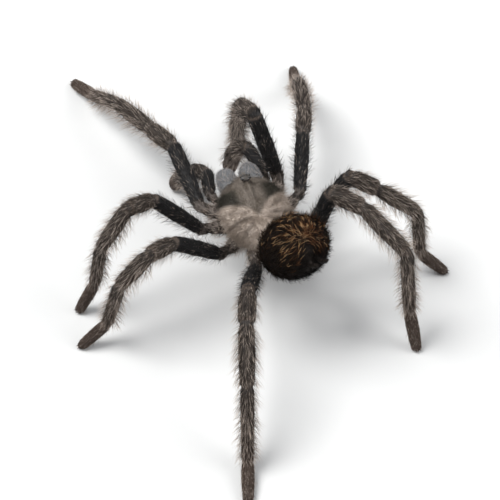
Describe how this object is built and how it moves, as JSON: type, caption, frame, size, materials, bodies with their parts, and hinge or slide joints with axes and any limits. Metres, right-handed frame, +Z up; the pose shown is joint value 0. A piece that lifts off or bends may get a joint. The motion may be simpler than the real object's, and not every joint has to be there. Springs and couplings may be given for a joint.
{
  "type": "tarantula",
  "caption": "Still, life-size model of a male tarantula standing on its feet, with its small abdomen raised and swung to one side.",
  "frame": {"origin": "on the floor, under the middle of the animal's footprint", "axes": "+Z up; the head points to -Y; the animal's left side is +X"},
  "size_m": [0.0766, 0.1146, 0.0301],
  "materials": {
    "carapace": "greyish tan shell under a close felt of short hairs",
    "legs": "grey-brown hair with paler streaks",
    "femora": "near-black close hair",
    "feet": "brown brush of short hairs",
    "abdomen": "black underfur with long rust and gold hairs",
    "chelicerae": "blue-grey short hair",
    "underside": "dark short hair",
    "spinnerets": "dark and finely hairy",
    "fangs": "smooth hard black, brown at the root",
    "eyes": "smooth glossy black"
  },
  "bodies": {
    "root": {"abdomen": "abdomen", "carapace": "carapace", "chelicera_left": "chelicerae", "chelicera_right": "chelicerae", "eye_mound": "eyes", "fang_left": "fangs", "fang_right": "fangs", "leg_left_1_femur": "femora", "leg_left_1_metatarsus": "feet", "leg_left_1_patella": "legs", "leg_left_1_tarsus": "feet", "leg_left_1_tibia": "legs", "leg_left_2_femur": "femora", "leg_left_2_metatarsus": "feet", "leg_left_2_patella": "legs", "leg_left_2_tarsus": "feet", "leg_left_2_tibia": "legs", "leg_left_3_femur": "femora", "leg_left_3_metatarsus": "feet", "leg_left_3_patella": "legs", "leg_left_3_tarsus": "feet", "leg_left_3_tibia": "legs", "leg_left_4_femur": "femora", "leg_left_4_metatarsus": "feet", "leg_left_4_patella": "legs", "leg_left_4_tarsus": "feet", "leg_left_4_tibia": "legs", "leg_right_1_femur": "femora", "leg_right_1_metatarsus": "feet", "leg_right_1_patella": "legs", "leg_right_1_tarsus": "feet", "leg_right_1_tibia": "legs", "leg_right_2_femur": "femora", "leg_right_2_metatarsus": "feet", "leg_right_2_patella": "legs", "leg_right_2_tarsus": "feet", "leg_right_2_tibia": "legs", "leg_right_3_femur": "femora", "leg_right_3_metatarsus": "feet", "leg_right_3_patella": "legs", "leg_right_3_tarsus": "feet", "leg_right_3_tibia": "legs", "leg_right_4_femur": "femora", "leg_right_4_metatarsus": "feet", "leg_right_4_patella": "legs", "leg_right_4_tarsus": "feet", "leg_right_4_tibia": "legs", "palp_left_femur": "femora", "palp_left_patella": "legs", "palp_left_tarsus": "feet", "palp_left_tibia": "legs", "palp_right_femur": "femora", "palp_right_patella": "legs", "palp_right_tarsus": "feet", "palp_right_tibia": "legs", "pedicel": "underside", "spinneret_left": "spinnerets", "spinneret_right": "spinnerets", "sternum_coxae": "underside"}
  },
  "joints": []
}
